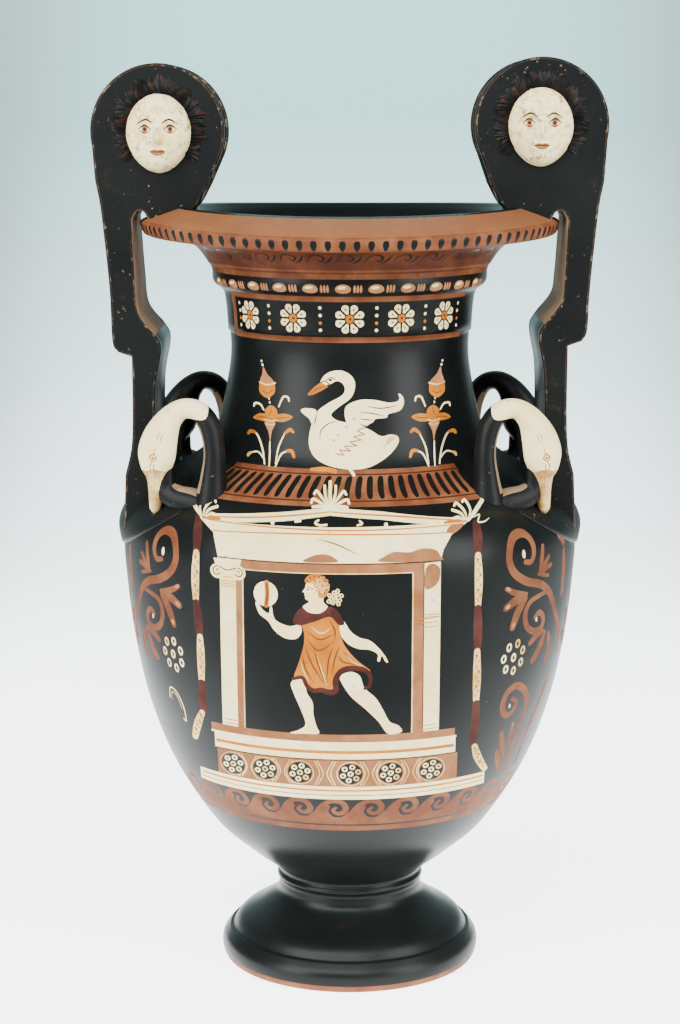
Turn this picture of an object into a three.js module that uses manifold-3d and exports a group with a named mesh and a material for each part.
// Volute krater: a thrown, hollow mixing bowl on a hollow foot, with two tall strap handles.
// Each handle ends above the lip in a volute disc with a relief mask on both faces, and springs
// from the shoulder between two loops shaped as swans' necks. It was all fired as one piece.
// Units are millimetres, +Z is up, the origin is on the axis at the foot's resting plane, and
// the handles stand along X.

import * as THREE from 'three';
import { mergeVertices } from 'three/addons/utils/BufferGeometryUtils.js';
import Module from 'manifold-3d';

const wasm = await Module();
wasm.setup();

// ---------------------------------------------------------------- driving dimensions

const AROUND = 40;                 // facets round the thrown body

const FOOT_RADIUS = 87;
const FOOT_RING_INNER = 72;        // inner edge of the resting ring
const STEM_RADIUS = 47.5;
const BODY_BASE_HEIGHT = 62;       // where the body leaves the stem
const BODY_RADIUS = 149.5;
const BODY_WIDEST_HEIGHT = 290;
const NECK_RADIUS = 77.7;
const NECK_HEIGHT = 414;           // narrowest place of the neck
const RIDGE_RADIUS = 89.5;
const RIDGE_HEIGHT = 462;
const LIP_RADIUS = 136;
const LIP_EDGE_LOW = 488;
const LIP_EDGE_HIGH = 497;
const LIP_CREST_RADIUS = 109;
const LIP_CREST_HEIGHT = 505.5;
const WALL = 7;
const FLOOR_HEIGHT = 70;           // inside floor of the bowl
const FOOT_CEILING = 58;           // top of the hollow under the foot

const LIP_SAG = 6;                 // the lip dips this much at the front and the back
const SAG_START = NECK_HEIGHT;     // and the dip fades out down here

const VOLUTE_X = 122;              // centre of the volute disc, out from the axis
const VOLUTE_RADIUS = 43;
const ROOT_EDGE = 1;               // the handle's root ends on the shoulder in a low step
const ROOT_SWELL = 4.5;            // and swells this much more in its middle
const STRAP_FLANGE = 9;            // thickness of a handle's front and rear flanges
const CHANNEL_DEPTH = 5;           // how far the strap between the flanges lies back
const HANDLES = [
  { side: -1, voluteHeight: 553, stepHeight: 413 },
  { side: 1, voluteHeight: 557, stepHeight: 420 },
];

const MASK_HALF_WIDTH = 21;
const MASK_HALF_HEIGHT = 25;
const MASK_DEPTH = 11;
const HAIR_MARGIN = 10;            // the hair stands this far out round the face
const HAIR_DEPTH = 6;
const HAIR_RIDGE = 1.8;            // and its locks are ridged this much
const HAIR_REACH = 128;            // degrees down each side of the face
const LOCKS = 10;

const LOOP_X = 107;                // middle of a swan's loop, out from the axis
const LOOP_Y = 76;                 // and to the front or the back
const LOOP_TURN = THREE.MathUtils.degToRad(16);
const LOOP_SIDES = 8;
const SWAN_STEPS = 15;
const BAR_SIDES = 6;
const BAR_STEPS = 6;

// ---------------------------------------------------------------- helpers

// A closed three.js geometry as a manifold solid.
function solid(geometry) {
  const bare = geometry.clone();
  for (const name of Object.keys(bare.attributes)) {
    if (name !== 'position') bare.deleteAttribute(name);
  }
  const merged = mergeVertices(bare, 1e-3);
  const index = merged.index.array;
  const triangles = [];
  for (let i = 0; i < index.length; i += 3) {
    const [a, b, c] = [index[i], index[i + 1], index[i + 2]];
    if (a !== b && b !== c && c !== a) triangles.push(a, b, c);
  }
  const body = new wasm.Manifold(new wasm.Mesh({
    numProp: 3,
    vertProperties: new Float32Array(merged.attributes.position.array),
    triVerts: new Uint32Array(triangles),
  }));
  if (body.volume() > 0) return body;
  for (let i = 0; i < triangles.length; i += 3) {
    [triangles[i], triangles[i + 1]] = [triangles[i + 1], triangles[i]];
  }
  return new wasm.Manifold(new wasm.Mesh({
    numProp: 3,
    vertProperties: new Float32Array(merged.attributes.position.array),
    triVerts: new Uint32Array(triangles),
  }));
}

// A manifold solid as a three.js geometry.
function geometryOf(body) {
  const mesh = body.getMesh();
  const geometry = new THREE.BufferGeometry();
  geometry.setAttribute('position', new THREE.BufferAttribute(mesh.vertProperties, 3));
  geometry.setIndex(new THREE.BufferAttribute(mesh.triVerts, 1));
  geometry.computeVertexNormals();
  return geometry;
}

// Moves every vertex of a geometry with a function of x, y and z that gives the new place.
function reshape(geometry, move) {
  const place = geometry.attributes.position;
  for (let i = 0; i < place.count; i += 1) {
    const [x, y, z] = move(place.getX(i), place.getY(i), place.getZ(i));
    place.setXYZ(i, x, y, z);
  }
  return geometry;
}

// Points of a smooth curve through a few [radius or x, height] points.
function smooth(points, pieces) {
  const curve = new THREE.SplineCurve(points.map(([x, y]) => new THREE.Vector2(x, y)));
  return curve.getPoints(pieces);
}

function line(points) {
  return points.map(([x, y]) => new THREE.Vector2(x, y));
}

// A solid turned round the Z axis from a profile of [radius, height] points.
function turned(profile) {
  return new THREE.LatheGeometry(profile, AROUND).rotateX(Math.PI / 2);
}

function ramp(value, from, to) {
  return THREE.MathUtils.smoothstep(value, from, to);
}

// ---------------------------------------------------------------- thrown vessel

// The lip was pressed out of level: it dips at the front and the back and not at the handles.
function sagged(x, y, z) {
  const radius = Math.hypot(x, y);
  if (radius < 1 || z <= SAG_START) return [x, y, z];
  const outward = THREE.MathUtils.clamp((radius - 60) / (LIP_RADIUS - 60), 0, 1);
  const share = ((z - SAG_START) / (LIP_EDGE_HIGH - SAG_START)) * outward ** 2;
  return [x, y, z - LIP_SAG * Math.min(share, 1) * (y / radius) ** 2];
}

function footProfile() {
  return [
    ...line([[0, 0], [FOOT_RADIUS - 2.5, 0]]),
    ...line([[FOOT_RADIUS, 6], [FOOT_RADIUS - 1.5, 14], [81.4, 19.4]]),
    ...smooth([[79.5, 19.2], [74, 26.5], [60.2, 35], [50, 43], [STEM_RADIUS, 52]], 5),
    ...line([[STEM_RADIUS + 1.4, 55], [STEM_RADIUS, BODY_BASE_HEIGHT - 3]]),
  ];
}

function bodyProfile() {
  return smooth([
    [STEM_RADIUS + 1.5, BODY_BASE_HEIGHT], [71.9, 80], [93, 100], [118.2, 140], [133.6, 180],
    [142.6, 220], [147.7, 260], [BODY_RADIUS, BODY_WIDEST_HEIGHT], [146.6, 305], [135, 320],
    [115, 333], [97, 345], [88, 360], [83, 378], [78.7, 402], [NECK_RADIUS, NECK_HEIGHT],
    [78.1, 423],
  ], 19);
}

function mouthProfile() {
  return [
    ...line([[79.6, 426], [81.8, 450]]),
    ...line([[85, 454], [RIDGE_RADIUS, RIDGE_HEIGHT - 3], [RIDGE_RADIUS, RIDGE_HEIGHT + 3]]),
    ...smooth([[92, 469], [95.2, 474], [102, 481], [LIP_RADIUS - 3, LIP_EDGE_LOW]], 3),
    ...line([[LIP_RADIUS, LIP_EDGE_HIGH - 2], [LIP_RADIUS - 1.5, LIP_EDGE_HIGH]]),
    ...line([[LIP_CREST_RADIUS + 2, LIP_CREST_HEIGHT], [0, LIP_CREST_HEIGHT + 0.5]]),
  ];
}

// The space inside, a wall's thickness in from the outside.
function cavityProfile() {
  return [
    ...smooth([[0, FLOOR_HEIGHT], [45, FLOOR_HEIGHT + 5], [93 - WALL, 100 + 4],
      [118.2 - WALL, 140 + 3], [142.6 - WALL, 220], [BODY_RADIUS - WALL, BODY_WIDEST_HEIGHT],
      [146.6 - WALL - 1, 302], [130, 315.5], [110, 326.5], [91, 339.5], [80.5, 358],
      [NECK_RADIUS - WALL + 0.5, 395], [NECK_RADIUS - WALL + 1, 430]], 12),
    ...smooth([[76, 455], [86, 478], [98, 497], [LIP_CREST_RADIUS - 2.5, 504.5]], 3),
    ...line([[LIP_CREST_RADIUS, LIP_CREST_HEIGHT + 2], [0, LIP_CREST_HEIGHT + 2]]),
  ];
}

function footHollowProfile() {
  return [
    ...line([[0, -2], [FOOT_RING_INNER, -2], [FOOT_RING_INNER, 0]]),
    ...smooth([[FOOT_RING_INNER - 3, 8], [55, 24], [41, 36], [36, 50]], 3),
    ...line([[0, FOOT_CEILING]]),
  ];
}

function outside() {
  return reshape(turned([...footProfile(), ...bodyProfile(), ...mouthProfile()]), sagged);
}

// Outer radius of the body at a height on the shoulder or the belly.
function bodyRadius(height) {
  const points = bodyProfile();
  for (let i = 1; i < points.length; i += 1) {
    if (points[i].y >= height) {
      const share = (height - points[i - 1].y) / (points[i].y - points[i - 1].y);
      return THREE.MathUtils.lerp(points[i - 1].x, points[i].x, share);
    }
  }
  return NECK_RADIUS;
}

// ---------------------------------------------------------------- handles

// Half the handle's depth, front to back: the strap widens on its way down.
function handleHalfDepth(height) {
  return 30 + 6 * ramp(520 - height, 0, 40) + 7 * ramp(480 - height, 0, 60);
}

// Side outline of a handle, outward distance and height: a strap that stands on the shoulder,
// steps out, and curls over into the volute disc, whose underside rests on the lip.
function handleOutline({ voluteHeight, stepHeight }, inset) {
  const radius = VOLUTE_RADIUS - inset;
  const disc = [];
  const first = THREE.MathUtils.degToRad(-12);
  const last = THREE.MathUtils.degToRad(206);
  const steps = 14;
  for (let i = 0; i <= steps; i += 1) {
    const turn = THREE.MathUtils.lerp(first, last, i / steps);
    disc.push([VOLUTE_X + radius * Math.cos(turn), voluteHeight + radius * Math.sin(turn)]);
  }
  return [
    ...line([[118, 300], [146 - inset, 300]]),
    ...smooth([[144.5 - inset, 335], [140.5 - inset, 352], [139.3 - inset, 375],
      [139.3 - inset, stepHeight - 2]], 4),
    ...smooth([[148 - inset, stepHeight + 1], [151.5 - inset, stepHeight + 8],
      [153 - inset, 452], [158 - inset, 500], [162 - inset, 522]], 6),
    ...line(disc),
    ...smooth([[90.5 + inset / 2, 519], [97, 507], [102, 502.5]], 3),
    ...line([[104, 498], [127, 493]]),
    ...smooth([[128.5, 498], [131.5, 502.6], [135.5, 503], [138.6, 498]], 4),
    ...smooth([[138, 485], [136.5, 460], [134.5, stepHeight + 26], [124, stepHeight + 12],
      [120.5, stepHeight + 2], [124.5, stepHeight - 24], [123.5, 352], [112, 330]], 9),
  ];
}

// One layer of a handle between two shares of its half depth, plus a fixed offset from each.
function handleLayer(handle, inset, fromShare, fromOffset, toShare, toOffset) {
  const shape = new THREE.Shape(handleOutline(handle, inset));
  const layer = new THREE.ExtrudeGeometry(shape, { depth: 1, bevelEnabled: false, steps: 1 });
  return reshape(layer, (x, z, level) => {
    const half = handleHalfDepth(z);
    const near = fromShare * half + fromOffset;
    const far = toShare * half + toOffset;
    return [handle.side * x, level < 0.5 ? near : far, z];
  });
}

function handleStrap(handle) {
  const front = solid(handleLayer(handle, 0, -1, 0, -1, STRAP_FLANGE));
  const rear = solid(handleLayer(handle, 0, 1, -STRAP_FLANGE, 1, 0));
  const web = solid(handleLayer(handle, CHANNEL_DEPTH, -1, STRAP_FLANGE - 1, 1, 1 - STRAP_FLANGE));
  return front.add(rear).add(web);
}

// The handle's spread root: a low swelling laid on the shoulder round the strap's foot.
function handleRoot({ side }) {
  const reach = THREE.MathUtils.degToRad(40);
  const block = new THREE.BoxGeometry(2, 2, 2, 8, 1, 4);
  return solid(reshape(block, (across, out, up) => {
    const turn = across * reach;
    const low = 284 + 34 * across ** 2;
    const high = 350 - 14 * across ** 2;
    const height = THREE.MathUtils.lerp(low, high, (up + 1) / 2);
    const proud = out > 0 ? ROOT_EDGE + ROOT_SWELL * (1 - across ** 2) * (1 - up ** 2) : -4;
    const radius = bodyRadius(height) + proud;
    return [side * radius * Math.cos(turn), radius * Math.sin(turn), height];
  }));
}

// ---------------------------------------------------------------- masks

// Height of the face over its rim plane, as a share of its depth. The place on the face is given
// in half widths and half heights from its centre. Brows, sockets, nose, lips and chin follow the
// usual canon: eyes at mid height, nose ending a quarter of the way up, mouth a third below that.
function faceHeight(across, up) {
  const bump = (centreX, centreY, wide, tall) => Math.exp(
    -(((Math.abs(across) - centreX) / wide) ** 2) - (((up - centreY) / tall) ** 2),
  );
  const edge = Math.max(0, 1 - across ** 2 - up ** 2);
  let height = Math.sqrt(edge) ** 0.8;
  height += 0.12 * bump(0.36, 0.27, 0.26, 0.09);
  height -= 0.17 * bump(0.38, 0.1, 0.2, 0.12);
  height += 0.3 * bump(0, -0.16, 0.12, 0.14) + 0.2 * bump(0, 0.06, 0.1, 0.2);
  height += 0.12 * bump(0, -0.46, 0.24, 0.07) + 0.1 * bump(0, -0.74, 0.24, 0.14);
  return height * ramp(edge, 0, 0.12);
}

// A mask on a handle's face: facing is -1 on the front and 1 on the back.
function mask({ side, voluteHeight }, facing) {
  const centre = new THREE.Vector3(
    side * (VOLUTE_X - 1), facing * (handleHalfDepth(voluteHeight) - 1), voluteHeight - 1,
  );
  const rings = [1, 0.9, 0.7, 0.48, 0.3, 0.14];
  const profile = [new THREE.Vector2(0, -1), new THREE.Vector2(1, -1)];
  rings.forEach((ring) => profile.push(new THREE.Vector2(ring, 1)));
  profile.push(new THREE.Vector2(0, 1));
  const face = new THREE.LatheGeometry(profile, 18).rotateX(Math.PI / 2);
  reshape(face, (x, y, level) => {
    const narrow = 1 - 0.16 * Math.max(0, -y) ** 2;
    const out = level < 0 ? 0 : 1.5 + MASK_DEPTH * faceHeight(x, y);
    return [
      centre.x + x * narrow * MASK_HALF_WIDTH, centre.y + facing * out,
      centre.z + y * MASK_HALF_HEIGHT,
    ];
  });
  return solid(face).add(hair(centre, facing));
}

// A low crescent of hair round the face from jaw to jaw, with a ridge for each lock.
function hair(centre, facing) {
  const crescent = new THREE.BoxGeometry(2, 2, 2, 2 * LOCKS, 1, 2);
  return solid(reshape(crescent, (along, out, across) => {
    const turn = THREE.MathUtils.degToRad(90 - HAIR_REACH * along);
    const ridge = Math.round((along + 1) * LOCKS) % 2;
    const margin = HAIR_MARGIN * (1 - 0.45 * along ** 4) + HAIR_RIDGE * ridge;
    const reach = THREE.MathUtils.lerp(-5, margin, (across + 1) / 2);
    const dome = across > 0.5 ? 1 : HAIR_DEPTH - HAIR_RIDGE * (1 - ridge);
    const level = out > 0 ? dome : -1;
    return [
      centre.x + Math.cos(turn) * (MASK_HALF_WIDTH + reach),
      centre.y + facing * level,
      centre.z + Math.sin(turn) * (MASK_HALF_HEIGHT + reach),
    ];
  }));
}

// ---------------------------------------------------------------- swan loops

// A swan's neck rises from the shoulder, bends over and comes down as a head whose bill touches
// the shoulder. Stations: along the loop's plane, height, half width in the plane, half depth.
const SWAN_STATIONS = [
  [-19, 300, 13, 14], [-21, 322, 11, 12], [-22.5, 340, 8, 9.5], [-23.4, 356, 6.6, 8.5],
  [-20.6, 371, 6.8, 8.2], [-14, 380, 6.5, 8], [-4.5, 382, 6.7, 8], [4, 376, 9, 9],
  [10, 365, 12.6, 10.5], [13.5, 353.5, 13.8, 11.5], [14.8, 345.5, 11, 10.5], [14.6, 338.5, 7.4, 8],
  [15, 330, 5.4, 6.5], [16, 322, 4.2, 5], [17.5, 312, 2.6, 3.5],
];

// The bar that closes the loop under its hole, and backs the bill.
const BAR_STATIONS = [
  [-22, 316, 9, 10], [-10, 322.5, 9, 9.5], [2, 325, 8.5, 8.5], [10, 331, 8, 7.5],
  [11.5, 342, 8.5, 7.5], [11, 352, 8, 7],
];

function loopTube(stations, sides, steps, { side }, facing) {
  const route = new THREE.SplineCurve(
    stations.map(([along, height]) => new THREE.Vector2(along, height)),
  );
  const sizes = new THREE.SplineCurve(
    stations.map((station) => new THREE.Vector2(station[2], station[3])),
  );
  const tube = new THREE.CylinderGeometry(1, 1, 1, sides, steps, false);
  return solid(reshape(tube, (x, y, z) => {
    const share = y + 0.5;
    const middle = route.getPoint(share);
    const heading = route.getTangent(share);
    const size = sizes.getPoint(share);
    const along = middle.x + heading.y * x * size.x;
    const height = middle.y - heading.x * x * size.x;
    const depth = z * size.y;
    const turned = along * Math.cos(LOOP_TURN) + depth * Math.sin(LOOP_TURN);
    const forward = depth * Math.cos(LOOP_TURN) - along * Math.sin(LOOP_TURN);
    return [side * (LOOP_X + turned), facing * (LOOP_Y + forward), height];
  }));
}

function swanLoop(handle, facing) {
  const swan = loopTube(SWAN_STATIONS, LOOP_SIDES, SWAN_STEPS, handle, facing);
  return swan.add(loopTube(BAR_STATIONS, BAR_SIDES, BAR_STEPS, handle, facing));
}

// ---------------------------------------------------------------- the whole piece

let krater = solid(outside());
for (const handle of HANDLES) {
  krater = krater.add(handleStrap(handle)).add(handleRoot(handle));
  for (const facing of [-1, 1]) {
    krater = krater.add(mask(handle, facing)).add(swanLoop(handle, facing));
  }
}
krater = krater.subtract(solid(reshape(turned(cavityProfile()), sagged)));
krater = krater.subtract(solid(turned(footHollowProfile())));

const blackGlaze = new THREE.MeshStandardMaterial({
  color: 0x15171a, roughness: 0.28, metalness: 0,
});

const mesh = new THREE.Mesh(geometryOf(krater), blackGlaze);
mesh.name = 'krater';

const group = new THREE.Group();
group.add(mesh);

export default group;
